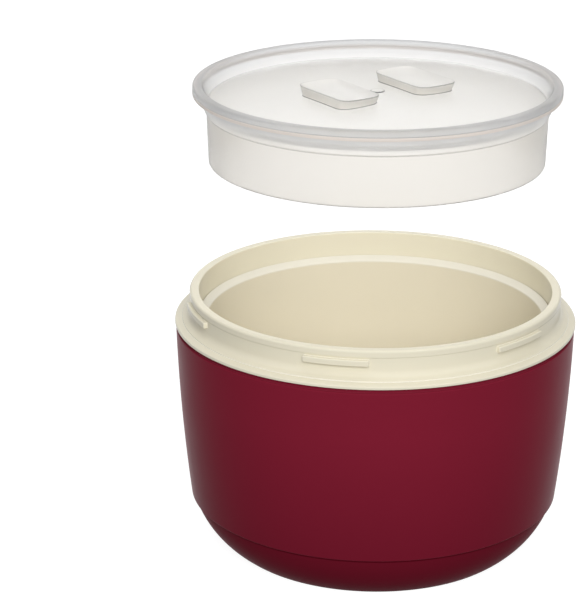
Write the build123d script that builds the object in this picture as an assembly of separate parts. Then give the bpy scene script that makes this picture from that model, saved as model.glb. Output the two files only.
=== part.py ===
from build123d import *
import math
import os

# Insulated food container with a lift-off plug lid, in millimetres.
# +Z is up. The origin is the centre of the base, on the surface that it stands on.

# Outer shell: a side wall that swells gently from the base seam to the shoulder
shell_top_radius = 99.6
shell_draft = 6.9
shell_bulge = 1.15
shoulder_height = 116.4
seam_height = 25.4
shell_wall = 2.4
shell_rebate_height = 2.0
shell_rebate_depth = 1.0
shell_rebate_round = 0.4
shell_edge_round = 0.7
shell_flange_thickness = 2.4
spigot_depth = 5.0
spigot_wall = 2.0

# Base cap: a shallow dish that closes the shell, on a raised foot ring
cap_step = 1.0
cap_draw = 19.7
cap_bulge = 3.3
cap_wall = 2.4
foot_width = 6.0
foot_recess = 2.0
foot_round = 0.8
fill_hole_radius = 6.2

# Plug in the filling hole
plug_head_lap = 2.8
plug_head_thickness = 1.1
plug_head_round = 0.4

# Collar: neck, lip and shoulder in one ring
neck_height = 16.6
shoulder_overhang = 0.4
shoulder_width = 7.4
lip_width = 4.7
lip_round = 1.2
lip_bore_round = 0.6
lip_bead_reach = 0.3
lip_bead_height = 3.2
lip_bead_chamfer = 0.6
neck_foot_rise = 4.5
neck_foot_round = 3.5
shoulder_edge_rise = 1.5
shoulder_edge_round = 0.7
shoulder_step_inset = 3.6
shoulder_step_rise = 2.9
shoulder_step_drop = 0.4
tongue_depth = 6.0
tongue_wall = 2.0
shelf_thickness = 2.2

# Bayonet lugs round the neck
lug_count = 6
lug_angle = 19.0
lug_first_angle = 258.7
lug_drop = 4.4
lug_height = 3.1
lug_reach = 2.0
lug_round = 0.5

# Inner bowl: its rim is a sloping ledge inside the neck
bore_depth = 12.2
ledge_width = 4.1
ledge_drop = 2.6
ledge_round = 1.0
bowl_draft = 3.8
bowl_corner_round = 26.0
bowl_wall = 1.6
bowl_floor_thickness = 2.0
bowl_rim_thickness = 3.2
gasket_thickness = 0.9
foam_floor_thickness = 18.6

# Plug lid: rim, flange, cone and skirt round a crowned disc
lid_rest_lift = 100.0
lid_inset = 2.6
rim_width = 4.6
rim_round = 1.2
flange_height = 3.2
cone_clearance = 0.4
cone_height = 8.2
skirt_clearance = 0.5
skirt_step = 0.6
skirt_draft = 0.9
skirt_wall = 1.8
skirt_edge_round = 0.6
lid_depth = 38.5
disc_inset = 3.0
disc_depth = 8.5
disc_crown = 4.0
disc_thickness = 2.0
disc_round = 1.8
seal_thickness = 1.6
seal_round = 0.4

# Finger grips: hollow raised pads with leaning ends and a finger scoop on the edge that faces the middle
grip_angle = -54.0
grip_length = 42.7
grip_width = 22.6
grip_spacing = 45.4
grip_end_bulge = 1.6
grip_end_lean = 28.0
grip_corner_round = 4.2
grip_top_round = 0.7
grip_drop = 0.4
grip_wall = 1.8
scoop_radius = 85.0
scoop_depth = 1.0
scoop_reach = 3.2
gate_radius = 3.4
gate_height = 0.5

# Clearances and overruns
fit_gap = 0.3
seat_gap = 0.1
fuse_overlap = 0.6
cut_overrun = 5.0

# Heights that follow from the sizes above
lip_height = shoulder_height + neck_height
ledge_height = lip_height - bore_depth
bowl_rim_foot = ledge_height - bowl_rim_thickness
shelf_height = bowl_rim_foot - gasket_thickness
tongue_foot = shoulder_height - tongue_depth
spigot_foot = seam_height - spigot_depth
cap_floor = foot_recess + cap_wall
bowl_underside = cap_floor + foam_floor_thickness
bowl_floor_height = bowl_underside + bowl_floor_thickness
lid_top = lip_height + seat_gap + seal_thickness + flange_height + lid_rest_lift
flange_foot = lid_top - flange_height
cone_top = flange_foot - seal_thickness
cone_foot = cone_top - cone_height
skirt_foot = lid_top - lid_depth
disc_edge = lid_top - disc_depth
disc_top = disc_edge + disc_crown
grip_top = lid_top - grip_drop

# Radii that follow from the shell's, from the outside inwards
shell_foot_radius = shell_top_radius - shell_draft
foot_radius = shell_foot_radius - cap_draw
shoulder_radius = shell_top_radius + shoulder_overhang
lip_radius = shoulder_radius - shoulder_width
neck_radius = lip_radius - lip_bead_reach
bore_radius = lip_radius - lip_width
bowl_mouth_radius = bore_radius - ledge_width
bowl_foot_radius = bowl_mouth_radius - bowl_draft
lid_radius = lip_radius - lid_inset
rim_bore = lid_radius - rim_width
disc_radius = rim_bore - disc_inset
cone_top_radius = bore_radius - cone_clearance
skirt_radius = bowl_mouth_radius - skirt_clearance
cone_foot_radius = skirt_radius + skirt_step
skirt_foot_radius = skirt_radius - skirt_draft


def circle_through(first, middle, last):
    """Centre and radius of the circle through three (radius, height) points."""
    (ax, ay), (bx, by), (cx, cy) = first, middle, last
    a2 = ax * ax + ay * ay
    b2 = bx * bx + by * by
    c2 = cx * cx + cy * cy
    turn = 2 * (ax * (by - cy) + bx * (cy - ay) + cx * (ay - by))
    x = (a2 * (by - cy) + b2 * (cy - ay) + c2 * (ay - by)) / turn
    y = (a2 * (cx - bx) + b2 * (ax - cx) + c2 * (bx - ax)) / turn
    return x, y, math.hypot(ax - x, ay - y)


def bowed(low_radius, low, high_radius, high, bulge):
    """Curved wall between two rings, which stands bulge proud of the straight line half way up."""
    middle_radius = (low_radius + high_radius) / 2 + bulge
    return circle_through((low_radius, low), (middle_radius, (low + high) / 2), (high_radius, high))


def reach(wall, height, inset=0):
    """Radius of a curved wall at a height, on the surface that lies inset inside it."""
    x, y, radius = wall
    return x + math.sqrt((radius - inset) ** 2 - (height - y) ** 2)


def rise(wall, across, inset=0):
    """Height at which the lower half of a curved wall has the given radius."""
    x, y, radius = wall
    return y - math.sqrt((radius - inset) ** 2 - (across - x) ** 2)


def wall_arc(wall, low, high, inset=0):
    """The stretch of a curved wall between two heights."""
    heights = (low, (low + high) / 2, high)
    return ThreePointArc(*[(reach(wall, height, inset), height) for height in heights])


def rounded(*corners):
    """Closed profile through (radius, height, rounding) corners."""
    points = [(across, height) for across, height, rounding in corners]
    roundings = [rounding for across, height, rounding in corners]
    return FilletPolyline(*points, radius=roundings, close=True)


def turned(*lines):
    """Solid of revolution about the object's axis."""
    edges = [edge for line in lines for edge in line.edges()]
    return revolve(Plane.XZ * make_face(edges), Axis.Z)


# Curved walls that neighbouring pieces share
shell_side = bowed(shell_foot_radius, seam_height, shell_top_radius, shoulder_height, shell_bulge)
cap_side = bowed(foot_radius, 0, shell_foot_radius - cap_step, seam_height, cap_bulge)

# Radii at the joints between pieces
tongue_radius = reach(shell_side, tongue_foot, shell_wall) - fit_gap
spigot_radius = reach(cap_side, spigot_foot, cap_wall) - fit_gap
spigot_bore = spigot_radius - spigot_wall
bowl_outer_radius = bowl_mouth_radius + bowl_wall
shelf_bore = bowl_outer_radius + fit_gap
bowl_rim_radius = bore_radius - fit_gap


def bowl_outside(height):
    """Outer radius of the bowl's sloping wall, above its rounded corner."""
    fall = (bowl_rim_foot - height) / (bowl_rim_foot - bowl_underside)
    return bowl_outer_radius - fall * (bowl_mouth_radius - bowl_foot_radius)


def outer_shell():
    """Side wall with a rebated top edge, and a flange with a spigot at its foot."""
    top_inside = reach(shell_side, shoulder_height, shell_wall)
    rebate_foot = shoulder_height - shell_rebate_height
    rebate_radius = shell_top_radius - shell_rebate_depth
    flange_top = seam_height + shell_flange_thickness
    outside = wall_arc(shell_side, seam_height, rebate_foot - 2 * shell_edge_round)
    top_edge = FilletPolyline(
        outside @ 1,
        (reach(shell_side, rebate_foot), rebate_foot),
        (rebate_radius, rebate_foot),
        (rebate_radius, shoulder_height),
        (top_inside, shoulder_height),
        radius=[shell_edge_round, 0, shell_rebate_round],
    )
    inside = wall_arc(shell_side, flange_top, shoulder_height, shell_wall)
    foot = Polyline(
        inside @ 0,
        (spigot_bore, flange_top),
        (spigot_bore, spigot_foot),
        (spigot_radius, spigot_foot),
        (spigot_radius, seam_height),
        outside @ 0,
    )
    return turned(outside, top_edge, inside, foot)


def base_cap():
    """Dish that closes the shell, with a foot ring and a filling hole."""
    outside = wall_arc(cap_side, 0, seam_height)
    inside = wall_arc(cap_side, cap_floor, seam_height, cap_wall)
    rim = Line(outside @ 1, inside @ 1)
    floor = FilletPolyline(
        inside @ 0,
        (fill_hole_radius, cap_floor),
        (fill_hole_radius, foot_recess),
        (foot_radius - foot_width, foot_recess),
        (foot_radius - foot_width, 0),
        outside @ 0,
        radius=[0, 0, foot_round, foot_round],
    )
    return turned(outside, rim, inside, floor)


def fill_plug():
    """Push-in plug, with its head in the foot ring's recess."""
    plug_head_radius = fill_hole_radius + plug_head_lap
    stem_radius = fill_hole_radius - fit_gap
    head_foot = foot_recess - plug_head_thickness
    return turned(rounded(
        (0, head_foot, 0),
        (plug_head_radius, head_foot, plug_head_round),
        (plug_head_radius, foot_recess, 0),
        (stem_radius, foot_recess, 0),
        (stem_radius, cap_floor, plug_head_round),
        (0, cap_floor, 0),
    ))


def collar():
    """Neck ring with its lip, shoulder, bowl shelf, shell tongue and bayonet lugs."""
    bead_foot = lip_height - lip_bead_height
    neck_foot = shoulder_height + neck_foot_rise
    step_radius = shoulder_radius - shoulder_step_inset
    step_height = shoulder_height + shoulder_step_rise
    edge_height = shoulder_height + shoulder_edge_rise
    ceiling = shelf_height - shelf_thickness
    tongue_bore = tongue_radius - tongue_wall
    ring = turned(rounded(
        (bore_radius, lip_height, lip_bore_round),
        (lip_radius, lip_height, lip_round),
        (lip_radius, bead_foot, 0),
        (neck_radius, bead_foot - lip_bead_chamfer, 0),
        (neck_radius, neck_foot, neck_foot_round),
        (step_radius, step_height, 0),
        (step_radius, step_height - shoulder_step_drop, 0),
        (shoulder_radius, edge_height, shoulder_edge_round),
        (shoulder_radius, shoulder_height, 0),
        (tongue_radius, shoulder_height, 0),
        (tongue_radius, tongue_foot, 0),
        (tongue_bore, tongue_foot, 0),
        (tongue_bore, ceiling, 0),
        (shelf_bore, ceiling, 0),
        (shelf_bore, shelf_height, 0),
        (bore_radius, shelf_height, 0),
    ))
    for index in range(lug_count):
        ring += Rot(0, 0, lug_first_angle + index * 360 / lug_count) * lug()
    return ring


def lug():
    """One bayonet lug, centred on +X, with its root inside the neck wall."""
    top = lip_height - lug_drop
    root = neck_radius - fuse_overlap
    section = Plane.XZ * make_face(rounded(
        (root, top, 0),
        (neck_radius + lug_reach, top, lug_round),
        (neck_radius + lug_reach, top - lug_height, lug_round),
        (root, top - lug_height, 0),
    ).edges())
    return Rot(0, 0, -lug_angle / 2) * revolve(section, Axis.Z, lug_angle)


def inner_bowl():
    """Bowl with a rounded floor and a sloping rim."""
    return turned(rounded(
        (0, bowl_floor_height, 0),
        (bowl_foot_radius, bowl_floor_height, bowl_corner_round),
        (bowl_mouth_radius, ledge_height - ledge_drop, ledge_round),
        (bowl_rim_radius, ledge_height, 0),
        (bowl_rim_radius, bowl_rim_foot, 0),
        (bowl_outer_radius, bowl_rim_foot, 0),
        (bowl_foot_radius + bowl_wall, bowl_underside, bowl_corner_round + bowl_wall),
        (0, bowl_underside, 0),
    ))


def bowl_gasket():
    """Flat ring between the bowl's rim and the collar's shelf."""
    return turned(rounded(
        (shelf_bore, shelf_height, 0),
        (bowl_rim_radius, shelf_height, 0),
        (bowl_rim_radius, bowl_rim_foot, 0),
        (shelf_bore, bowl_rim_foot, 0),
    ))


def foam_jacket():
    """Cup of foam that fills the space between the bowl, the shell and the base."""
    top = tongue_foot - fit_gap
    flange_top = seam_height + shell_flange_thickness
    plug_radius = spigot_bore - fit_gap
    cap_inset = cap_wall + fit_gap
    plug_foot = rise(cap_side, plug_radius, cap_inset)
    side = wall_arc(shell_side, flange_top, top, shell_wall + fit_gap)
    base = wall_arc(cap_side, cap_floor, plug_foot, cap_inset)
    waist = Polyline(side @ 0, (plug_radius, flange_top), base @ 1)
    cavity = FilletPolyline(
        side @ 1,
        (bowl_outside(top) + fit_gap, top),
        (bowl_foot_radius + bowl_wall + fit_gap, bowl_underside),
        (0, bowl_underside),
        (0, cap_floor),
        base @ 0,
        radius=[0, bowl_corner_round + bowl_wall + fit_gap, 0, 0],
    )
    return turned(side, waist, base, cavity)


def crown_radius():
    """Radius of the lid disc's spherical crown."""
    return (disc_radius ** 2 + disc_crown ** 2) / (2 * disc_crown)


def crown_height(across, drop=0):
    """Height of the crowned disc at a distance from the axis, drop below its top face."""
    radius = crown_radius()
    return disc_top - drop - radius + math.sqrt(radius ** 2 - across ** 2)


def crown_arc(across, drop=0):
    """Half of the disc's section, from the axis outwards."""
    stations = (0, across / 2, across)
    return ThreePointArc(*[(station, crown_height(station, drop)) for station in stations])


def lid_body():
    """Rim, flange, cone, skirt and crowned disc of the lid."""
    skirt_bore = skirt_foot_radius - skirt_wall
    disc_bore = skirt_radius - skirt_wall
    top = crown_arc(disc_radius)
    underside = crown_arc(disc_bore, disc_thickness)
    outside = FilletPolyline(
        top @ 1,
        (rim_bore, lid_top),
        (lid_radius, lid_top),
        (lid_radius, flange_foot),
        (cone_top_radius, flange_foot),
        (cone_top_radius, cone_top),
        (cone_foot_radius, cone_foot),
        (skirt_radius, cone_foot - skirt_step),
        (skirt_foot_radius, skirt_foot),
        (skirt_bore, skirt_foot),
        underside @ 1,
        radius=[rim_round, rim_round, seal_round, 0, 0, 0, 0, skirt_edge_round, skirt_edge_round],
    )
    axis = Line(top @ 0, underside @ 0)
    body = turned(top, outside, underside, axis)
    corner = body.edges().filter_by(GeomType.CIRCLE).sort_by_distance((disc_radius, 0, disc_edge))[0]
    return fillet(corner, disc_round)


def grip_outline(height, inset=0):
    """Plan of a grip at a height: straight long sides, bowed ends and rounded corners."""
    lean = (grip_top - height) * math.tan(math.radians(grip_end_lean))
    half_length = grip_length / 2 - grip_end_bulge - lean - inset
    half_width = grip_width / 2 - inset
    bow = grip_end_bulge
    sides = [
        Line((-half_length, -half_width), (half_length, -half_width)),
        ThreePointArc((half_length, -half_width), (half_length + bow, 0), (half_length, half_width)),
        Line((half_length, half_width), (-half_length, half_width)),
        ThreePointArc((-half_length, half_width), (-half_length - bow, 0), (-half_length, -half_width)),
    ]
    plan = make_face(sides)
    return Pos(0, 0, height) * fillet(plan.vertices(), grip_corner_round - inset)


def grip_block(low, high, inset=0):
    """Solid with a grip's plan between two heights, shorter at its foot than at its top."""
    return loft([grip_outline(low, inset), grip_outline(high, inset)], ruled=True)


def scoop(offset=0):
    """Slanting cylinder that dips into the grip's top along the edge facing the middle."""
    tilt = math.atan2(scoop_depth, scoop_reach)
    axis_height = grip_top - scoop_depth + scoop_radius / math.cos(tilt)
    bar = Cylinder(scoop_radius + offset, grip_length + grip_width)
    return Pos(0, -grip_width / 2, axis_height) * Rot(90 + math.degrees(tilt), 0, 0) * bar


def grip():
    """Raised pad in its own frame, with the lid's middle towards -Y."""
    pad = grip_block(crown_height(grip_spacing) - disc_thickness / 2, grip_top)
    pad = fillet(pad.faces().sort_by(Axis.Z)[-1].edges(), grip_top_round)
    return pad - scoop()


def grip_hollow():
    """Space under a pad that leaves an even wall over it."""
    foot = crown_height(grip_spacing) - disc_thickness - cut_overrun
    return grip_block(foot, grip_top - grip_wall, grip_wall) - scoop(grip_wall)


def clear_lid():
    """Plug lid with its two grips and the moulding gate between them."""
    lid = lid_body()
    for turn in (grip_angle, grip_angle + 180):
        lid += Rot(0, 0, turn) * Pos(0, grip_spacing / 2, 0) * grip()
    for turn in (grip_angle, grip_angle + 180):
        lid -= Rot(0, 0, turn) * Pos(0, grip_spacing / 2, 0) * grip_hollow()
    gate_foot = disc_top - disc_thickness / 2
    gate_span = disc_thickness / 2 + gate_height
    gate = Cylinder(gate_radius, gate_span, align=(Align.CENTER, Align.CENTER, Align.MIN))
    return lid + Pos(0, 0, gate_foot) * gate


def lid_seal():
    """Soft ring under the flange, round the top of the cone."""
    return turned(rounded(
        (cone_top_radius + fit_gap, cone_top, 0),
        (lid_radius, cone_top, seal_round),
        (lid_radius, flange_foot, seal_round),
        (cone_top_radius + fit_gap, flange_foot, 0),
    ))


os.makedirs("parts", exist_ok=True)
for make in (
    outer_shell,
    base_cap,
    fill_plug,
    collar,
    inner_bowl,
    bowl_gasket,
    foam_jacket,
    clear_lid,
    lid_seal,
):
    export_step(make(), "parts/" + make.__name__ + ".step")
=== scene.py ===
# Insulated food container with a lift-off plug lid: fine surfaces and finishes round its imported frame.
# Sizes are in millimetres until a mesh is made; meshes, lights and camera are in metres.
import math

import bmesh
import bpy
from mathutils import Matrix, Vector


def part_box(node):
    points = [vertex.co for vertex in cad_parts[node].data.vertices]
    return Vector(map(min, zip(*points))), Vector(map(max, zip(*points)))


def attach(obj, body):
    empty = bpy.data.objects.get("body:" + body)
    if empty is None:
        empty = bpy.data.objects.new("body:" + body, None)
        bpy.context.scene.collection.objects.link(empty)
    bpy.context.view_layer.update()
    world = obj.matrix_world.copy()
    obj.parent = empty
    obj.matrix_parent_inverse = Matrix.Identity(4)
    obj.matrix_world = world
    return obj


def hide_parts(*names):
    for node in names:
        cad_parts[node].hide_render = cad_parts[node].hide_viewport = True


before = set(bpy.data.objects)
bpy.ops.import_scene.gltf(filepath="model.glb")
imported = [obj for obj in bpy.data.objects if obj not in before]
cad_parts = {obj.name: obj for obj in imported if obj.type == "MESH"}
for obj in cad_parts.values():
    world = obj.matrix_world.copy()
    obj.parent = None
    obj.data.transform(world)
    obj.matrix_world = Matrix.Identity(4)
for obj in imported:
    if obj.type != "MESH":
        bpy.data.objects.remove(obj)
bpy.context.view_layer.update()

MM = 0.001


def node_radius(node):
    """Outer radius of a round node."""
    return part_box(node)[1].x / MM


def node_foot(node):
    """Height of a node's lowest point."""
    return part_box(node)[0].z / MM


def node_top(node):
    """Height of a node's highest point."""
    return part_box(node)[1].z / MM


# Mesh fineness
turn_steps = 192
corner_steps = 8
arc_steps = 28
crease_angle = 13.0
on_axis = 1e-6

# Outer shell
shoulder_radius = node_radius("collar")
shoulder_height = node_top("outer_shell")
seam_height = node_top("base_cap")
spigot_foot = node_foot("outer_shell")
shoulder_overhang = 0.4
shell_draft = 6.9
shell_bulge = 1.15
shell_wall = 2.4
shell_rebate_height = 2.0
shell_rebate_depth = 1.0
shell_edge_round = 0.7
shell_foot_round = 0.45
shell_flange_thickness = 2.4
spigot_wall = 2.0

# Base cap and the plug in its filling hole
cap_step = 1.0
cap_draw = 19.7
cap_bulge = 3.3
cap_wall = 2.4
cap_edge_round = 0.5
foot_width = 6.0
foot_recess = 2.0
foot_round = 0.8
fill_hole_radius = 6.2
plug_head_radius = node_radius("fill_plug")
plug_head_foot = node_foot("fill_plug")
plug_head_round = 0.4
plug_dimple_radius = 3.2
plug_dimple_depth = 0.5

# Collar
lip_height = node_top("collar")
tongue_foot = node_foot("collar")
shoulder_width = 7.4
lip_width = 4.7
lip_round = 1.2
lip_bore_round = 0.6
lip_bead_reach = 0.3
lip_bead_height = 3.2
lip_bead_fall = 0.6
lip_bead_round = 0.8
neck_foot_rise = 4.5
neck_foot_round = 3.5
shoulder_edge_rise = 1.5
shoulder_edge_round = 0.7
shoulder_step_inset = 3.6
shoulder_step_rise = 2.9
shoulder_step_drop = 0.4
tongue_wall = 2.0
shelf_thickness = 2.2
fine_round = 0.3

# Bayonet lugs
lug_count = 6
lug_angle = 19.0
lug_first_angle = 258.7
lug_drop = 4.4
lug_height = 3.1
lug_reach = 2.0
lug_round = 0.6
lug_root = 0.6
lug_steps = 12

# Inner bowl
ledge_height = node_top("inner_bowl")
bowl_underside = node_foot("inner_bowl")
bowl_rim_radius = node_radius("inner_bowl")
ledge_width = 4.1
ledge_drop = 2.6
ledge_round = 1.0
bowl_draft = 3.8
bowl_corner_round = 26.0
bowl_wall = 1.6
bowl_floor_thickness = 2.0
bowl_rim_thickness = 3.2
shelf_height = node_foot("bowl_gasket")

# Plug lid and its seal
lid_radius = node_radius("clear_lid")
lid_top = node_top("clear_lid")
skirt_foot = node_foot("clear_lid")
flange_foot = node_top("lid_seal")
cone_top = node_foot("lid_seal")
rim_width = 4.6
rim_round = 1.2
cone_clearance = 0.4
cone_height = 8.2
skirt_clearance = 0.5
skirt_step = 0.6
skirt_draft = 0.9
skirt_wall = 1.8
skirt_edge_round = 0.3
disc_inset = 3.0
disc_depth = 8.5
disc_crown = 4.0
disc_thickness = 2.0
disc_round = 0.4
seal_round = 0.4
fit_gap = 0.3

# Finger grips on the lid
grip_angle = -54.0
grip_length = 42.7
grip_width = 22.6
grip_spacing = 45.4
grip_end_bulge = 1.6
grip_end_lean = 28.0
grip_corner_round = 4.2
grip_least_round = 0.3
grip_top_round = 0.35
grip_drop = 0.4
grip_wall = 1.8
grip_ring_step = 1.3
grip_corner_steps = 8
grip_end_steps = 12
grip_side_steps = 24
grip_hollow_overrun = 5.0
scoop_radius = 85.0
scoop_depth = 1.0
scoop_reach = 3.2
scoop_sweep = 30.0
scoop_overrun = 5.0
scoop_steps = 90
gate_radius = 3.4
gate_height = 0.5
gate_round = 0.2
gate_steps = 48

# Moulded surface: cloudy mottling, patches of uneven gloss, and grain
cloud_scale = 16.0
cloud_detail = 4.0
cloud_low = 0.3
cloud_high = 0.7
cloud_darkest = 0.72
patch_scale = 55.0
patch_detail = 5.0
noise_middle = 0.5
grain_detail = 3.0
grain_strength = 0.5

# Fine edges and tones: painted highlight lines on edges, and painted shade and shadow on faces
edge_samples = 8
edge_full_turn = 0.975
edge_reach = 0.35
lid_edge_reach = 0.6
burgundy_edge_highlight = (0.27, 0.030, 0.055)
shell_foot_shade = (0.80, 0.73, 0.77)
shell_shade_start = 90.0
seam_shadow_tone = (0.68, 0.45, 0.55)
seam_shadow = 1.1
cream_edge_highlight = (0.93, 0.905, 0.82)
bowl_wall_shade = (0.99, 0.955, 0.875)
rim_shade_grey = (0.60, 0.61, 0.635)
edge_line_shade = (0.10, 0.10, 0.105)
edge_grey = (0.35, 0.35, 0.36)
edge_slant_index = 1.3
edge_slant_start = 0.22
skirt_shade = (0.85, 0.835, 0.81)
grip_side_tone = (0.84, 0.83, 0.81)
grip_side_tilt = 0.45
grip_level_tilt = 0.8
grip_zone_radius = 64.0

# Stage, lamps and camera, in metres and watts
floor_size = 12.0
floor_drop = 0.0002
floor_grey = 0.35
floor_shown_grey = 0.28
floor_glow = 0.92
world_light = 0.23
lamp_target = (0.0, 0.0, 0.12)
front_lamp_place = (0.15, -1.9, 1.2)
front_lamp_size = 1.0
front_lamp_power = 34.0
top_lamp_place = (0.0, 0.0, 1.9)
top_lamp_size = 1.4
top_lamp_power = 7.5
back_lamp_place = (-0.3, 1.9, 1.3)
back_lamp_size = 1.4
back_lamp_power = 12.0
frame_height_pixels = 600
focal_pixels = 2542
sensor_width = 36.0
camera_place = (0.0, -1.2001, 0.5477)
camera_aim = (-0.0428, 0.0, 0.1252)

# Radii and heights that follow
shell_top_radius = shoulder_radius - shoulder_overhang
shell_foot_radius = shell_top_radius - shell_draft
cap_top_radius = shell_foot_radius - cap_step
foot_radius = shell_foot_radius - cap_draw
lip_radius = shoulder_radius - shoulder_width
neck_radius = lip_radius - lip_bead_reach
bore_radius = lip_radius - lip_width
bowl_mouth_radius = bore_radius - ledge_width
bowl_foot_radius = bowl_mouth_radius - bowl_draft
rim_bore = lid_radius - rim_width
disc_radius = rim_bore - disc_inset
cone_top_radius = bore_radius - cone_clearance
skirt_radius = bowl_mouth_radius - skirt_clearance
cone_foot_radius = skirt_radius + skirt_step
skirt_foot_radius = skirt_radius - skirt_draft
cone_foot = cone_top - cone_height
disc_edge = lid_top - disc_depth
disc_top = disc_edge + disc_crown
grip_top = lid_top - grip_drop
grip_turns = (math.radians(grip_angle), math.radians(grip_angle + 180))
ledge_foot = ledge_height - ledge_drop
seam_shadow_foot = seam_height - seam_shadow
crown_radius = (disc_radius ** 2 + disc_crown ** 2) / (2 * disc_crown)


# Outlines

def circle_through(first, middle, last):
    """Centre and radius of the circle through three (radius, height) points."""
    turn = centre_x = centre_y = 0
    for here, ahead, behind in ((first, middle, last), (middle, last, first), (last, first, middle)):
        square = here[0] * here[0] + here[1] * here[1]
        turn += 2 * here[0] * (ahead[1] - behind[1])
        centre_x += square * (ahead[1] - behind[1])
        centre_y += square * (behind[0] - ahead[0])
    centre_x /= turn
    centre_y /= turn
    return centre_x, centre_y, math.hypot(first[0] - centre_x, first[1] - centre_y)


def bowed(low_radius, low, high_radius, high, bulge):
    """Curved wall between two rings, which stands bulge proud of the straight line half way up."""
    middle_radius = (low_radius + high_radius) / 2 + bulge
    return circle_through((low_radius, low), (middle_radius, (low + high) / 2), (high_radius, high))


def reach(wall, height, inset=0):
    """Radius of a curved wall at a height, on the surface that lies inset inside it."""
    x, y, radius = wall
    return x + math.sqrt((radius - inset) ** 2 - (height - y) ** 2)


def wall_run(wall, start, end, inset=0, first_round=0, last_round=0):
    """Outline corners along a curved wall from one height to another."""
    run = []
    for step in range(arc_steps + 1):
        height = start + (end - start) * step / arc_steps
        run.append((reach(wall, height, inset), height, 0))
    run[0] = (*run[0][:2], first_round)
    run[-1] = (*run[-1][:2], last_round)
    return run


def rounded(corners):
    """Closed outline of points through (radius, height, rounding) corners."""
    points = []
    for index, (across, height, rounding) in enumerate(corners):
        here = Vector((across, height))
        if not rounding:
            points.append(here)
            continue
        back = (Vector(corners[index - 1][:2]) - here).normalized()
        ahead = (Vector(corners[(index + 1) % len(corners)][:2]) - here).normalized()
        half = back.angle(ahead) / 2
        centre = here + (back + ahead).normalized() * rounding / math.sin(half)
        start = here + back * rounding / math.tan(half) - centre
        turn = start.angle_signed(here + ahead * rounding / math.tan(half) - centre)
        for step in range(corner_steps + 1):
            angle = -turn * step / corner_steps
            swung = Vector((
                start.x * math.cos(angle) - start.y * math.sin(angle),
                start.x * math.sin(angle) + start.y * math.cos(angle),
            ))
            points.append(centre + swung)
    return points


def crown_height(across, drop=0):
    """Height of the lid's crowned disc at a distance from the axis, drop below its top face."""
    return disc_top - drop - crown_radius + math.sqrt(crown_radius ** 2 - across ** 2)


def crown_run(start, end, drop=0):
    """Outline corners along the lid's disc."""
    radii = [start + (end - start) * step / arc_steps for step in range(arc_steps + 1)]
    return [(across, crown_height(across, drop), 0) for across in radii]


# Meshes

def add_piece(name, shape):
    """Object from a finished bmesh, with its faces turned outwards."""
    mesh = bpy.data.meshes.new(name)
    bmesh.ops.recalc_face_normals(shape, faces=shape.faces)
    shape.to_mesh(mesh)
    shape.free()
    piece = bpy.data.objects.new(name, mesh)
    bpy.context.scene.collection.objects.link(piece)
    return piece


def smooth(piece):
    """Even shading on flat and round faces, with real creases kept."""
    piece.data.shade_smooth()
    piece.data.set_sharp_from_angle(angle=math.radians(crease_angle))
    evener = piece.modifiers.new("even_normals", "WEIGHTED_NORMAL")
    evener.keep_sharp = True
    return piece


def turn_into(shape, outline, steps=turn_steps):
    """Adds a solid turned about the object's axis to a bmesh."""
    angles = [math.radians(360 * step / steps) for step in range(steps)]
    rings = []
    for across, height in outline:
        if across < on_axis:
            rings.append([shape.verts.new((0, 0, height * MM))])
            continue
        places = [(across * MM * math.cos(a), across * MM * math.sin(a), height * MM) for a in angles]
        rings.append([shape.verts.new(place) for place in places])
    for low, high in zip(rings, rings[1:] + rings[:1]):
        for step in range(steps):
            following = (step + 1) % steps
            picks = (low[step % len(low)], low[following % len(low)])
            picks += (high[following % len(high)], high[step % len(high)])
            corners = list(dict.fromkeys(picks))
            if len(corners) > 2:
                shape.faces.new(corners)


def skin(shape, rings):
    """Adds faces from ring to ring to a bmesh, and one on each end."""
    for one, other in zip(rings, rings[1:]):
        for index in range(len(one)):
            following = (index + 1) % len(one)
            shape.faces.new((one[index], one[following], other[following], other[index]))
    shape.faces.new(rings[0])
    shape.faces.new(rings[-1])


def lathe(name, outline):
    """Piece turned about the object's axis."""
    shape = bmesh.new()
    turn_into(shape, outline)
    return add_piece(name, shape)


def combine(piece, tool, operation):
    """Joins a tool solid to a piece, or cuts it out, and deletes the tool."""
    join = piece.modifiers.new(operation, "BOOLEAN")
    join.operation = operation
    join.solver = "EXACT"
    join.object = tool
    seen = bpy.context.evaluated_depsgraph_get()
    merged = bpy.data.meshes.new_from_object(piece.evaluated_get(seen))
    piece.modifiers.remove(join)
    piece.data = merged
    bpy.data.objects.remove(tool)


# Pieces of the container

shell_side = bowed(shell_foot_radius, seam_height, shell_top_radius, shoulder_height, shell_bulge)
cap_side = bowed(foot_radius, 0, cap_top_radius, seam_height, cap_bulge)
tongue_radius = reach(shell_side, tongue_foot, shell_wall) - fit_gap
spigot_radius = reach(cap_side, spigot_foot, cap_wall) - fit_gap


def make_outer_shell():
    """Burgundy side wall, with a rebate under the shoulder that leaves a fine shadow line."""
    rebate_foot = shoulder_height - shell_rebate_height
    rebate_radius = shell_top_radius - shell_rebate_depth
    flange_top = seam_height + shell_flange_thickness
    spigot_bore = spigot_radius - spigot_wall
    return smooth(lathe("outer_shell_wall", rounded([
        *wall_run(
            shell_side, seam_height, rebate_foot, first_round=shell_foot_round, last_round=shell_edge_round,
        ),
        (rebate_radius, rebate_foot, 0),
        (rebate_radius, shoulder_height, fine_round),
        *wall_run(shell_side, shoulder_height, flange_top, shell_wall),
        (spigot_bore, flange_top, 0),
        (spigot_bore, spigot_foot, 0),
        (spigot_radius, spigot_foot, 0),
        (spigot_radius, seam_height, 0),
    ])))


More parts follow.
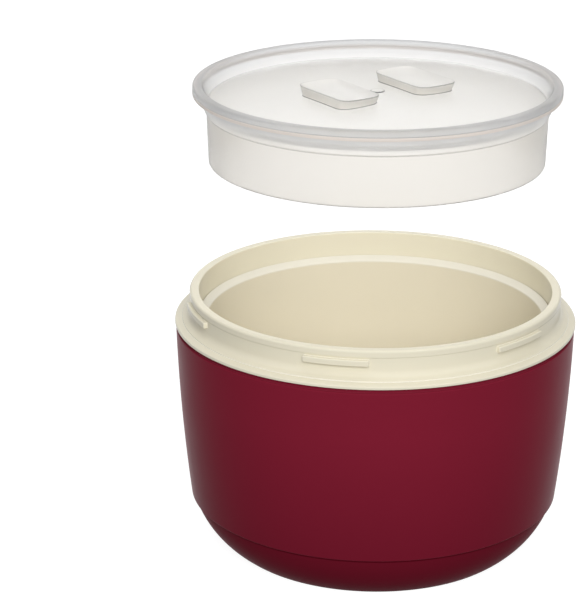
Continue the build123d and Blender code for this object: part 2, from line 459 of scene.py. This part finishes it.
def make_base_cap():
    """Burgundy dish under the shell, on its foot ring."""
    cap_floor = foot_recess + cap_wall
    return smooth(lathe("base_dish", rounded([
        *wall_run(cap_side, 0, seam_height, first_round=foot_round, last_round=cap_edge_round),
        *wall_run(cap_side, seam_height, cap_floor, cap_wall),
        (fill_hole_radius, cap_floor, 0),
        (fill_hole_radius, foot_recess, fine_round),
        (foot_radius - foot_width, foot_recess, foot_round),
        (foot_radius - foot_width, 0, foot_round),
    ])))


def make_fill_plug():
    """Push-in plug with a dimple where its mould was filled."""
    stem_radius = fill_hole_radius - fit_gap
    dimple_top = plug_head_foot + plug_dimple_depth
    return smooth(lathe("filling_plug", rounded([
        (0, dimple_top, 0),
        (plug_dimple_radius, dimple_top, fine_round / 2),
        (plug_dimple_radius, plug_head_foot, fine_round / 2),
        (plug_head_radius, plug_head_foot, plug_head_round),
        (plug_head_radius, foot_recess, 0),
        (stem_radius, foot_recess, 0),
        (stem_radius, foot_recess + cap_wall, plug_head_round),
        (0, foot_recess + cap_wall, 0),
    ])))


def make_collar():
    """Cream neck ring with its lip, bayonet lugs and shoulder."""
    bead_foot = lip_height - lip_bead_height
    ceiling = shelf_height - shelf_thickness
    tongue_bore = tongue_radius - tongue_wall
    shelf_bore = bowl_mouth_radius + bowl_wall + fit_gap
    step_radius = shoulder_radius - shoulder_step_inset
    step_height = shoulder_height + shoulder_step_rise
    ring = lathe("neck_collar", rounded([
        (bore_radius, lip_height, lip_bore_round),
        (lip_radius, lip_height, lip_round),
        (lip_radius, bead_foot, lip_bead_round),
        (neck_radius, bead_foot - lip_bead_fall, lip_bead_round),
        (neck_radius, shoulder_height + neck_foot_rise, neck_foot_round),
        (step_radius, step_height, fine_round),
        (step_radius, step_height - shoulder_step_drop, 0),
        (shoulder_radius, shoulder_height + shoulder_edge_rise, shoulder_edge_round),
        (shoulder_radius, shoulder_height, fine_round),
        (tongue_radius, shoulder_height, 0),
        (tongue_radius, tongue_foot, 0),
        (tongue_bore, tongue_foot, 0),
        (tongue_bore, ceiling, 0),
        (shelf_bore, ceiling, 0),
        (shelf_bore, shelf_height, 0),
        (bore_radius, shelf_height, 0),
    ]))
    combine(ring, make_lugs(), "UNION")
    return smooth(ring)


def make_lugs():
    """The six bayonet lugs, each rooted in the neck wall, with rounded ends."""
    top = lip_height - lug_drop
    foot = top - lug_height
    tip = neck_radius + lug_reach
    end_turn = math.degrees(lug_round / tip)
    shape = bmesh.new()
    for index in range(lug_count):
        middle = lug_first_angle + index * 360 / lug_count
        start = middle - lug_angle / 2
        turns = []
        for step in range(lug_steps + 1):
            turns.append((start + lug_angle * step / lug_steps, 0))
        for step in range(1, corner_steps + 1):
            pull = lug_round * (1 - math.cos(math.pi / 2 * step / corner_steps))
            slip = end_turn * math.sin(math.pi / 2 * step / corner_steps)
            turns.insert(0, (start - slip, pull))
            turns.append((start + lug_angle + slip, pull))
        add_lug(shape, turns, foot, top, tip)
    return add_piece("lugs", shape)


def add_lug(shape, turns, foot, top, tip):
    """One lug as a skin over its sections, each drawn in by its own pull."""
    sections = []
    for angle, pull in turns:
        outline = rounded([
            (neck_radius - lug_root, top - pull, 0),
            (tip - pull, top - pull, lug_round),
            (tip - pull, foot + pull, lug_round),
            (neck_radius - lug_root, foot + pull, 0),
        ])
        turn = math.radians(angle)
        sections.append([
            shape.verts.new((across * MM * math.cos(turn), across * MM * math.sin(turn), height * MM))
            for across, height in outline
        ])
    skin(shape, sections)


def make_inner_bowl():
    """Cream bowl with a rounded floor, whose rim is the sloping ledge inside the neck."""
    rim_foot = ledge_height - bowl_rim_thickness
    floor = bowl_underside + bowl_floor_thickness
    return smooth(lathe("food_bowl", rounded([
        (0, floor, 0),
        (bowl_foot_radius, floor, bowl_corner_round),
        (bowl_mouth_radius, ledge_foot, ledge_round),
        (bowl_rim_radius, ledge_height, fine_round),
        (bowl_rim_radius, rim_foot, 0),
        (bowl_mouth_radius + bowl_wall, rim_foot, 0),
        (bowl_foot_radius + bowl_wall, bowl_underside, bowl_corner_round + bowl_wall),
        (0, bowl_underside, 0),
    ])))


# Pieces of the lid

def make_plug_lid():
    """Clear lid: turned body, hollow finger grips and the gate mark between them."""
    skirt_bore = skirt_foot_radius - skirt_wall
    disc_bore = skirt_radius - skirt_wall
    top_run = crown_run(0, disc_radius)
    top_run[-1] = (*top_run[-1][:2], disc_round)
    lid = lathe("plug_lid", rounded([
        *top_run,
        (rim_bore, lid_top, rim_round),
        (lid_radius, lid_top, rim_round),
        (lid_radius, flange_foot, seal_round),
        (cone_top_radius, flange_foot, 0),
        (cone_top_radius, cone_top, fine_round),
        (cone_foot_radius, cone_foot, fine_round),
        (skirt_radius, cone_foot - skirt_step, fine_round),
        (skirt_foot_radius, skirt_foot, skirt_edge_round),
        (skirt_bore, skirt_foot, skirt_edge_round),
        *crown_run(disc_bore, 0, disc_thickness),
    ]))
    combine(lid, make_grip_solids("raised_grips", 0), "UNION")
    combine(lid, make_grip_solids("grip_hollows", grip_wall), "DIFFERENCE")
    return smooth(lid)


def grip_ring(height, inset):
    """Plan of a grip at a height, inset from its edge: straight sides, round corners and bowed ends."""
    lean = (grip_top - height) * math.tan(math.radians(grip_end_lean))
    half_length = grip_length / 2 - grip_end_bulge - lean - inset
    half_width = grip_width / 2 - inset
    rounding = max(grip_corner_round - inset, grip_least_round)
    rounding = min(rounding, half_width)
    centres = [
        (half_length - rounding, rounding - half_width),
        (half_length - rounding, half_width - rounding),
        (rounding - half_length, half_width - rounding),
        (rounding - half_length, rounding - half_width),
    ]
    arcs = []
    for quarter, (x, y) in enumerate(centres):
        turns = [quarter - 1 + step / grip_corner_steps for step in range(grip_corner_steps + 1)]
        angles = [math.radians(90 * turn) for turn in turns]
        arcs.append([Vector((x + rounding * math.cos(a), y + rounding * math.sin(a))) for a in angles])
    points = []
    for quarter, arc in enumerate(arcs):
        steps = grip_side_steps if quarter % 2 else grip_end_steps
        ahead = arcs[(quarter + 1) % len(arcs)][0]
        points += arc
        points += [arc[-1].lerp(ahead, step / steps) for step in range(1, steps)]
    for point in points:
        point.x *= 1 + grip_end_bulge * (1 - (point.y / half_width) ** 2) / half_length
    return points


def make_scoop_cutters(wall):
    """Slices of slanting cylinders that cut both finger scoops, or leave a wall under them."""
    tilt = math.atan2(scoop_depth, scoop_reach)
    radius = scoop_radius + wall
    axis_height = grip_top - scoop_depth + scoop_radius / math.cos(tilt)
    along = Vector((0, math.cos(tilt), math.sin(tilt)))
    down = Vector((0, math.sin(tilt), -math.cos(tilt)))
    inner_edge = Vector((0, (grip_spacing - grip_width) / 2, axis_height))
    shape = bmesh.new()
    for turn in grip_turns:
        swing = Matrix.Rotation(turn, 3, "Z")
        ends = []
        for slide in (-scoop_overrun, scoop_overrun):
            end = []
            for step in range(scoop_steps + 1):
                angle = math.radians(scoop_sweep * step / scoop_steps - scoop_sweep / 2)
                place = inner_edge + along * slide + down * radius * math.cos(angle)
                place.x = radius * math.sin(angle)
                end.append(shape.verts.new(swing @ place * MM))
            ends.append(end)
        skin(shape, ends)
    return add_piece("scoop_cutters", shape)


def make_grip_solids(name, wall):
    """Both grips as solids, or their hollows where a wall thickness is left over them."""
    top = grip_top - wall
    over = disc_thickness + grip_hollow_overrun if wall else disc_thickness / 2
    foot = crown_height(grip_spacing) - over
    edge = grip_least_round if wall else grip_top_round
    levels = [(wall, foot), (wall, top - edge)]
    for step in range(1, corner_steps + 1):
        angle = math.pi / 2 * step / corner_steps
        levels.append((wall + edge * (1 - math.cos(angle)), top - edge * (1 - math.sin(angle))))
    inset = wall + edge + grip_ring_step
    while inset < grip_width / 2 - grip_least_round:
        levels.append((inset, top))
        inset += grip_ring_step
    shape = bmesh.new()
    for turn in grip_turns:
        add_grip(shape, turn, levels)
    if not wall:
        gate_top = disc_top + gate_height
        turn_into(shape, rounded([
            (0, disc_top - disc_thickness / 2, 0),
            (gate_radius, disc_top - disc_thickness / 2, 0),
            (gate_radius, gate_top, gate_round),
            (0, gate_top, 0),
        ]), steps=gate_steps)
    grips = add_piece(name, shape)
    combine(grips, make_scoop_cutters(wall), "DIFFERENCE")
    return grips


def add_grip(shape, turn, levels):
    """Skin of one grip, ring by ring from its foot to the middle of its top."""
    rings = []
    for inset, level in levels:
        ring = []
        for x, y in grip_ring(level, inset):
            across = y + grip_spacing / 2
            place = (
                x * math.cos(turn) - across * math.sin(turn),
                x * math.sin(turn) + across * math.cos(turn),
                level,
            )
            ring.append(shape.verts.new(Vector(place) * MM))
        rings.append(ring)
    skin(shape, rings)


def make_lid_seal():
    """Soft ring under the lid's flange."""
    seal_bore = cone_top_radius + fit_gap
    return smooth(lathe("flange_seal", rounded([
        (seal_bore, cone_top, 0),
        (lid_radius, cone_top, seal_round),
        (lid_radius, flange_foot, seal_round),
        (seal_bore, flange_foot, 0),
    ])))


# Finishes

def new_group(name, inputs, outputs):
    """Empty shader group with named sockets."""
    group = bpy.data.node_groups.new(name, "ShaderNodeTree")
    kinds = {"colour": "NodeSocketColor", "value": "NodeSocketFloat"}
    for label, kind in inputs:
        group.interface.new_socket(label, in_out="INPUT", socket_type=kinds[kind])
    for label, kind in outputs:
        group.interface.new_socket(label, in_out="OUTPUT", socket_type=kinds[kind])
    return group


def moulded_surface():
    """Faint mottling, uneven gloss and fine grain of a moulded plastic face."""
    group = new_group(
        "moulded_surface",
        [
            ("Colour", "colour"), ("Mottle", "value"), ("Gloss", "value"),
            ("Unevenness", "value"), ("Grain", "value"),
        ],
        [("Colour", "colour"), ("Roughness", "value"), ("Height", "value")],
    )
    nodes, links = group.nodes, group.links
    given = nodes.new("NodeGroupInput")
    result = nodes.new("NodeGroupOutput")
    place = nodes.new("ShaderNodeTexCoord")

    cloud = nodes.new("ShaderNodeTexNoise")
    cloud.inputs["Scale"].default_value = cloud_scale
    cloud.inputs["Detail"].default_value = cloud_detail
    links.new(place.outputs["Object"], cloud.inputs["Vector"])
    shade = nodes.new("ShaderNodeMapRange")
    shade.inputs["From Min"].default_value = cloud_low
    shade.inputs["From Max"].default_value = cloud_high
    shade.inputs["To Min"].default_value = cloud_darkest
    links.new(cloud.outputs["Fac"], shade.inputs["Value"])
    tint = nodes.new("ShaderNodeMix")
    tint.data_type = "RGBA"
    tint.blend_type = "MULTIPLY"
    links.new(given.outputs["Mottle"], tint.inputs["Factor"])
    links.new(given.outputs["Colour"], tint.inputs["A"])
    links.new(shade.outputs["Result"], tint.inputs["B"])
    links.new(tint.outputs["Result"], result.inputs["Colour"])

    patch = nodes.new("ShaderNodeTexNoise")
    patch.inputs["Scale"].default_value = patch_scale
    patch.inputs["Detail"].default_value = patch_detail
    links.new(place.outputs["Object"], patch.inputs["Vector"])
    centred = nodes.new("ShaderNodeMath")
    centred.operation = "SUBTRACT"
    centred.inputs[1].default_value = noise_middle
    links.new(patch.outputs["Fac"], centred.inputs[0])
    spread = nodes.new("ShaderNodeMath")
    spread.operation = "MULTIPLY_ADD"
    links.new(centred.outputs["Value"], spread.inputs[0])
    links.new(given.outputs["Unevenness"], spread.inputs[1])
    links.new(given.outputs["Gloss"], spread.inputs[2])
    links.new(spread.outputs["Value"], result.inputs["Roughness"])

    grain = nodes.new("ShaderNodeTexNoise")
    grain.inputs["Detail"].default_value = grain_detail
    links.new(place.outputs["Object"], grain.inputs["Vector"])
    links.new(given.outputs["Grain"], grain.inputs["Scale"])
    links.new(grain.outputs["Fac"], result.inputs["Height"])
    return group


def fine_edges():
    """Mask of a moulding's edges, from how far the surface turns within a short reach."""
    group = new_group("fine_edges", [("Reach", "value")], [("Mask", "value")])
    nodes, links = group.nodes, group.links
    given = nodes.new("NodeGroupInput")
    result = nodes.new("NodeGroupOutput")
    eased = nodes.new("ShaderNodeBevel")
    eased.samples = edge_samples
    links.new(given.outputs["Reach"], eased.inputs["Radius"])
    surface = nodes.new("ShaderNodeNewGeometry")
    alike = nodes.new("ShaderNodeVectorMath")
    alike.operation = "DOT_PRODUCT"
    links.new(eased.outputs["Normal"], alike.inputs[0])
    links.new(surface.outputs["Normal"], alike.inputs[1])
    edge = nodes.new("ShaderNodeMapRange")
    edge.inputs["From Min"].default_value = 1.0
    edge.inputs["From Max"].default_value = edge_full_turn
    links.new(alike.outputs["Value"], edge.inputs["Value"])
    links.new(edge.outputs["Result"], result.inputs["Mask"])
    return group


def length_mask(name):
    """Group with a mask from none at one length to full at another, and the socket for what it measures."""
    group = new_group(name, [("None", "value"), ("Full", "value")], [("Mask", "value")])
    nodes, links = group.nodes, group.links
    given = nodes.new("NodeGroupInput")
    result = nodes.new("NodeGroupOutput")
    within = nodes.new("ShaderNodeMapRange")
    links.new(given.outputs["None"], within.inputs["From Min"])
    links.new(given.outputs["Full"], within.inputs["From Max"])
    links.new(within.outputs["Result"], result.inputs["Mask"])
    return group, within.inputs["Value"]


def radius_mask():
    """Mask over the distance from the object's axis."""
    group, measured = length_mask("radius_mask")
    nodes, links = group.nodes, group.links
    place = nodes.new("ShaderNodeTexCoord")
    flat = nodes.new("ShaderNodeVectorMath")
    flat.operation = "MULTIPLY"
    flat.inputs[1].default_value = (1, 1, 0)
    links.new(place.outputs["Object"], flat.inputs[0])
    across = nodes.new("ShaderNodeVectorMath")
    across.operation = "LENGTH"
    links.new(flat.outputs["Vector"], across.inputs[0])
    links.new(across.outputs["Value"], measured)
    return group


def height_mask():
    """Mask over the height on the object."""
    group, measured = length_mask("height_mask")
    nodes, links = group.nodes, group.links
    place = nodes.new("ShaderNodeTexCoord")
    parts = nodes.new("ShaderNodeSeparateXYZ")
    links.new(place.outputs["Object"], parts.inputs["Vector"])
    links.new(parts.outputs["Z"], measured)
    return group


surface_group = moulded_surface()
edge_group = fine_edges()
radius_group = radius_mask()
height_group = height_mask()


def finish(name, colour, mottle, roughness, unevenness, grain, relief, **settings):
    """Moulded plastic material: the surface group with its own values, and plain shader settings."""
    material = bpy.data.materials.new(name)
    material.use_nodes = True
    nodes, links = material.node_tree.nodes, material.node_tree.links
    shader = nodes["Principled BSDF"]
    surface = nodes.new("ShaderNodeGroup")
    surface.node_tree = surface_group
    surface.inputs["Colour"].default_value = (*colour, 1)
    surface.inputs["Mottle"].default_value = mottle
    surface.inputs["Gloss"].default_value = roughness
    surface.inputs["Unevenness"].default_value = unevenness
    surface.inputs["Grain"].default_value = grain
    links.new(surface.outputs["Colour"], shader.inputs["Base Color"])
    links.new(surface.outputs["Roughness"], shader.inputs["Roughness"])
    bump = nodes.new("ShaderNodeBump")
    bump.inputs["Strength"].default_value = grain_strength
    bump.inputs["Distance"].default_value = relief * MM
    links.new(surface.outputs["Height"], bump.inputs["Height"])
    links.new(bump.outputs["Normal"], shader.inputs["Normal"])
    for label, value in settings.items():
        shader.inputs[label.replace("_", " ")].default_value = value
    return material


def let_lamps_through(material):
    """Lamp light passes through a clear moulding, so that what lies under it isn't left dark."""
    nodes, links = material.node_tree.nodes, material.node_tree.links
    path = nodes.new("ShaderNodeLightPath")
    clear = nodes.new("ShaderNodeBsdfTransparent")
    choose = nodes.new("ShaderNodeMixShader")
    links.new(path.outputs["Is Shadow Ray"], choose.inputs["Fac"])
    links.new(nodes["Principled BSDF"].outputs["BSDF"], choose.inputs[1])
    links.new(clear.outputs["BSDF"], choose.inputs[2])
    links.new(choose.outputs["Shader"], nodes["Material Output"].inputs["Surface"])


def blend_in(material, mask, colour, blend="MULTIPLY"):
    """Blends another colour into a material's base colour where a mask is high."""
    nodes, links = material.node_tree.nodes, material.node_tree.links
    base = nodes["Principled BSDF"].inputs["Base Color"]
    tint = nodes.new("ShaderNodeMix")
    tint.data_type = "RGBA"
    tint.blend_type = blend
    tint.inputs["B"].default_value = (*colour, 1)
    links.new(base.links[0].from_socket, tint.inputs["A"])
    links.new(mask, tint.inputs["Factor"])
    links.new(tint.outputs["Result"], base)


def grey_edges(material):
    """A clear wall that turns away from view is looked through lengthwise, so its edges look greyer."""
    nodes, links = material.node_tree.nodes, material.node_tree.links
    slant = nodes.new("ShaderNodeFresnel")
    slant.inputs["IOR"].default_value = edge_slant_index
    steep = nodes.new("ShaderNodeMapRange")
    steep.inputs["From Min"].default_value = edge_slant_start
    links.new(slant.outputs["Fac"], steep.inputs["Value"])
    side = nodes.new("ShaderNodeNewGeometry")
    outside = nodes.new("ShaderNodeMath")
    outside.operation = "SUBTRACT"
    outside.inputs[0].default_value = 1.0
    links.new(side.outputs["Backfacing"], outside.inputs[1])
    links.new(outside.outputs["Value"], steep.inputs["To Max"])
    blend_in(material, steep.outputs["Result"], edge_grey)


def trace_edges(material, distance, blend, colour):
    """Marks the fine edges of a moulding with another colour, multiplied in or mixed in: a painted
    highlight where lighter, painted shade where darker.
    """
    nodes = material.node_tree.nodes
    edges = nodes.new("ShaderNodeGroup")
    edges.node_tree = edge_group
    edges.inputs["Reach"].default_value = distance * MM
    blend_in(material, edges.outputs["Mask"], colour, blend)


def tone_between(material, mask_group, none, full, colour):
    """Multiplies another colour in as painted shade or shadow, from none at one height or radius to full at
    another.
    """
    nodes = material.node_tree.nodes
    ramp = nodes.new("ShaderNodeGroup")
    ramp.node_tree = mask_group
    ramp.inputs["None"].default_value = none * MM
    ramp.inputs["Full"].default_value = full * MM
    blend_in(material, ramp.outputs["Mask"], colour)


def tone_grip_sides(material):
    """The grips' upright sides are lit less than the level faces round them, so they look greyer."""
    nodes, links = material.node_tree.nodes, material.node_tree.links
    surface = nodes.new("ShaderNodeNewGeometry")
    parts = nodes.new("ShaderNodeSeparateXYZ")
    links.new(surface.outputs["Normal"], parts.inputs["Vector"])
    tilt = nodes.new("ShaderNodeMath")
    tilt.operation = "ABSOLUTE"
    links.new(parts.outputs["Z"], tilt.inputs[0])
    upright = nodes.new("ShaderNodeMapRange")
    upright.inputs["From Min"].default_value = grip_level_tilt
    upright.inputs["From Max"].default_value = grip_side_tilt
    links.new(tilt.outputs["Value"], upright.inputs["Value"])
    near = nodes.new("ShaderNodeGroup")
    near.node_tree = radius_group
    near.inputs["None"].default_value = disc_radius * MM
    near.inputs["Full"].default_value = grip_zone_radius * MM
    links.new(near.outputs["Mask"], upright.inputs["To Max"])
    blend_in(material, upright.outputs["Result"], grip_side_tone)


# Materials

def make_burgundy():
    """Shell plastic, with painted shade that darkens it towards its foot, and a painted highlight line on
    its edges.
    """
    material = finish(
        "burgundy_satin", colour=(0.212, 0.0128, 0.0310), mottle=0.12, roughness=0.34, unevenness=0.10,
        grain=900.0, relief=0.012, Specular_IOR_Level=0.02,
    )
    # Painted shade: the wall darkens from this height down to the seam.
    tone_between(material, height_group, shell_shade_start, seam_height, shell_foot_shade)
    # Painted highlight: a lighter line along the shell's rounded edges.
    trace_edges(material, edge_reach, "MIX", burgundy_edge_highlight)
    return material


def make_burgundy_base():
    """Base plastic, with a painted shadow under the seam."""
    material = finish(
        "burgundy_base_satin", colour=(0.158, 0.0086, 0.0215), mottle=0.12, roughness=0.38, unevenness=0.10,
        grain=900.0, relief=0.014, Specular_IOR_Level=0.004,
    )
    # Painted shadow: a fine dark band just under the seam.
    tone_between(material, height_group, seam_shadow_foot - fine_round, seam_shadow_foot, seam_shadow_tone)
    return material


def make_cream_gloss():
    """Collar plastic, with a painted highlight line on its edges."""
    material = finish(
        "cream_gloss", colour=(0.81, 0.763, 0.61), mottle=0.06, roughness=0.20, unevenness=0.06,
        grain=700.0, relief=0.008, Specular_IOR_Level=0.15,
    )
    # Painted highlight: paler lines along the collar's lip, lug and shoulder edges.
    trace_edges(material, edge_reach, "MIX", cream_edge_highlight)
    return material


def make_cream_matte():
    """Bowl plastic, with painted shade that makes the wall below the ledge a little darker and warmer."""
    material = finish(
        "cream_matte", colour=(0.77, 0.74, 0.645), mottle=0.10, roughness=0.52, unevenness=0.12,
        grain=1300.0, relief=0.030, Specular_IOR_Level=0.3,
    )
    # Painted shade on the bowl's wall below the ledge.
    tone_between(material, height_group, ledge_foot, ledge_foot - ledge_round, bowl_wall_shade)
    return material


def make_gasket_rubber():
    """Rubber of the ring under the bowl's rim."""
    return finish(
        "gasket_rubber", colour=(0.50, 0.43, 0.30), mottle=0.15, roughness=0.70, unevenness=0.10,
        grain=1500.0, relief=0.020,
    )


def make_rigid_foam():
    """Insulating foam round the bowl."""
    return finish(
        "rigid_foam", colour=(0.80, 0.72, 0.48), mottle=0.35, roughness=0.90, unevenness=0.10,
        grain=600.0, relief=0.300,
    )


def make_frosted_clear():
    """Lid plastic, with painted shade greying its thick rim, skirt, grip sides, slanting walls and fine
    edges.
    """
    material = finish(
        "frosted_clear", colour=(0.99, 0.98, 0.96), mottle=0.04, roughness=0.34, unevenness=0.06,
        grain=800.0, relief=0.010, Transmission_Weight=0.8, IOR=1.35,
    )
    # Painted shade: the thick rim greyer, standing in for light lost through its depth.
    tone_between(material, radius_group, rim_bore - rim_round, rim_bore + rim_round, rim_shade_grey)
    grey_edges(material)
    # Painted shade: dark lines along the lid's fine edges.
    trace_edges(material, lid_edge_reach, "MULTIPLY", edge_line_shade)
    # Painted shade: the skirt below the cone greyer.
    tone_between(material, height_group, cone_foot, cone_foot - skirt_step, skirt_shade)
    tone_grip_sides(material)
    let_lamps_through(material)
    return material


def make_seal_silicone():
    """Soft clear silicone of the ring under the lid's flange."""
    material = finish(
        "seal_silicone", colour=(0.80, 0.745, 0.70), mottle=0.08, roughness=0.40, unevenness=0.10,
        grain=900.0, relief=0.010, Transmission_Weight=0.35, IOR=1.41,
    )
    let_lamps_through(material)
    return material


def coat(piece, material):
    """Gives a piece one material, in place of any that it has."""
    piece.data.materials.clear()
    piece.data.materials.append(material)


def dress(piece, material, body, node):
    """Gives a new piece its material and body, and hides the node that it stands for."""
    coat(piece, material)
    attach(piece, body)
    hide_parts(node)


burgundy = make_burgundy()
burgundy_base = make_burgundy_base()
dress(make_outer_shell(), burgundy, "container", "outer_shell")
dress(make_base_cap(), burgundy_base, "container", "base_cap")
dress(make_fill_plug(), burgundy_base, "container", "fill_plug")
dress(make_collar(), make_cream_gloss(), "container", "collar")
dress(make_inner_bowl(), make_cream_matte(), "container", "inner_bowl")
dress(make_plug_lid(), make_frosted_clear(), "lid", "clear_lid")
dress(make_lid_seal(), make_seal_silicone(), "lid", "lid_seal")
coat(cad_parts["bowl_gasket"], make_gasket_rubber())
coat(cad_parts["foam_jacket"], make_rigid_foam())


# Stage, light and camera

def seen_directly(nodes, links):
    """Light path factor of rays that show the background: to the camera, in gloss and through the lid."""
    path = nodes.new("ShaderNodeLightPath")
    first = nodes.new("ShaderNodeMath")
    first.operation = "MAXIMUM"
    links.new(path.outputs["Is Camera Ray"], first.inputs[0])
    links.new(path.outputs["Is Glossy Ray"], first.inputs[1])
    both = nodes.new("ShaderNodeMath")
    both.operation = "MAXIMUM"
    links.new(first.outputs["Value"], both.inputs[0])
    links.new(path.outputs["Is Transmission Ray"], both.inputs[1])
    return both.outputs["Value"]


def grey(level):
    """Neutral colour of a brightness from 0 to 1."""
    return level, level, level, 1


def make_floor():
    """White studio floor that keeps a soft shadow."""
    shape = bmesh.new()
    bmesh.ops.create_grid(shape, x_segments=1, y_segments=1, size=floor_size / 2)
    floor = add_piece("studio_floor", shape)
    floor.location.z = -floor_drop
    material = bpy.data.materials.new("white_floor")
    material.use_nodes = True
    nodes, links = material.node_tree.nodes, material.node_tree.links
    nodes.remove(nodes["Principled BSDF"])
    lit = nodes.new("ShaderNodeBsdfDiffuse")
    lit.inputs["Color"].default_value = grey(floor_grey)
    shown_lit = nodes.new("ShaderNodeBsdfDiffuse")
    shown_lit.inputs["Color"].default_value = grey(floor_shown_grey)
    glow = nodes.new("ShaderNodeEmission")
    glow.inputs["Strength"].default_value = floor_glow
    shown = nodes.new("ShaderNodeAddShader")
    links.new(shown_lit.outputs["BSDF"], shown.inputs[0])
    links.new(glow.outputs["Emission"], shown.inputs[1])
    choose = nodes.new("ShaderNodeMixShader")
    links.new(seen_directly(nodes, links), choose.inputs["Fac"])
    links.new(lit.outputs["BSDF"], choose.inputs[1])
    links.new(shown.outputs["Shader"], choose.inputs[2])
    links.new(choose.outputs["Shader"], nodes["Material Output"].inputs["Surface"])
    floor.data.materials.append(material)


def make_world():
    """Soft even light from all round, which shows as white."""
    world = bpy.data.worlds.new("studio")
    bpy.context.scene.world = world
    world.use_nodes = True
    nodes, links = world.node_tree.nodes, world.node_tree.links
    light = nodes["Background"]
    light.inputs["Color"].default_value = grey(1)
    light.inputs["Strength"].default_value = world_light
    white = nodes.new("ShaderNodeBackground")
    white.inputs["Color"].default_value = grey(1)
    white.inputs["Strength"].default_value = 1.0
    choose = nodes.new("ShaderNodeMixShader")
    links.new(seen_directly(nodes, links), choose.inputs["Fac"])
    links.new(light.outputs["Background"], choose.inputs[1])
    links.new(white.outputs["Background"], choose.inputs[2])
    links.new(choose.outputs["Shader"], nodes["World Output"].inputs["Surface"])


def add_aimed(name, data, place, target):
    """Adds a lamp or a camera that faces a point."""
    carrier = bpy.data.objects.new(name, data)
    carrier.location = place
    carrier.rotation_mode = "QUATERNION"
    carrier.rotation_quaternion = (Vector(target) - Vector(place)).to_track_quat("-Z", "Y")
    bpy.context.scene.collection.objects.link(carrier)
    return carrier


def add_softbox(name, place, size, power, in_gloss=True):
    """Square studio lamp aimed at the object, which can be left out of reflections and refractions."""
    lamp = bpy.data.lights.new(name, "AREA")
    lamp.size = size
    lamp.energy = power
    box = add_aimed(name, lamp, place, lamp_target)
    box.visible_glossy = in_gloss
    box.visible_transmission = in_gloss


def make_camera():
    """Camera at the photograph's viewing angle, for its 579 by 600 frame."""
    view = bpy.data.cameras.new("camera")
    view.sensor_width = sensor_width
    view.lens = focal_pixels * sensor_width / frame_height_pixels
    bpy.context.scene.camera = add_aimed("camera", view, camera_place, camera_aim)


make_floor()
make_world()
make_camera()
add_softbox("front_softbox", front_lamp_place, front_lamp_size, front_lamp_power, in_gloss=False)
add_softbox("top_softbox", top_lamp_place, top_lamp_size, top_lamp_power)
add_softbox("back_fill", back_lamp_place, back_lamp_size, back_lamp_power, in_gloss=False)

bpy.context.scene.view_settings.view_transform = "Standard"
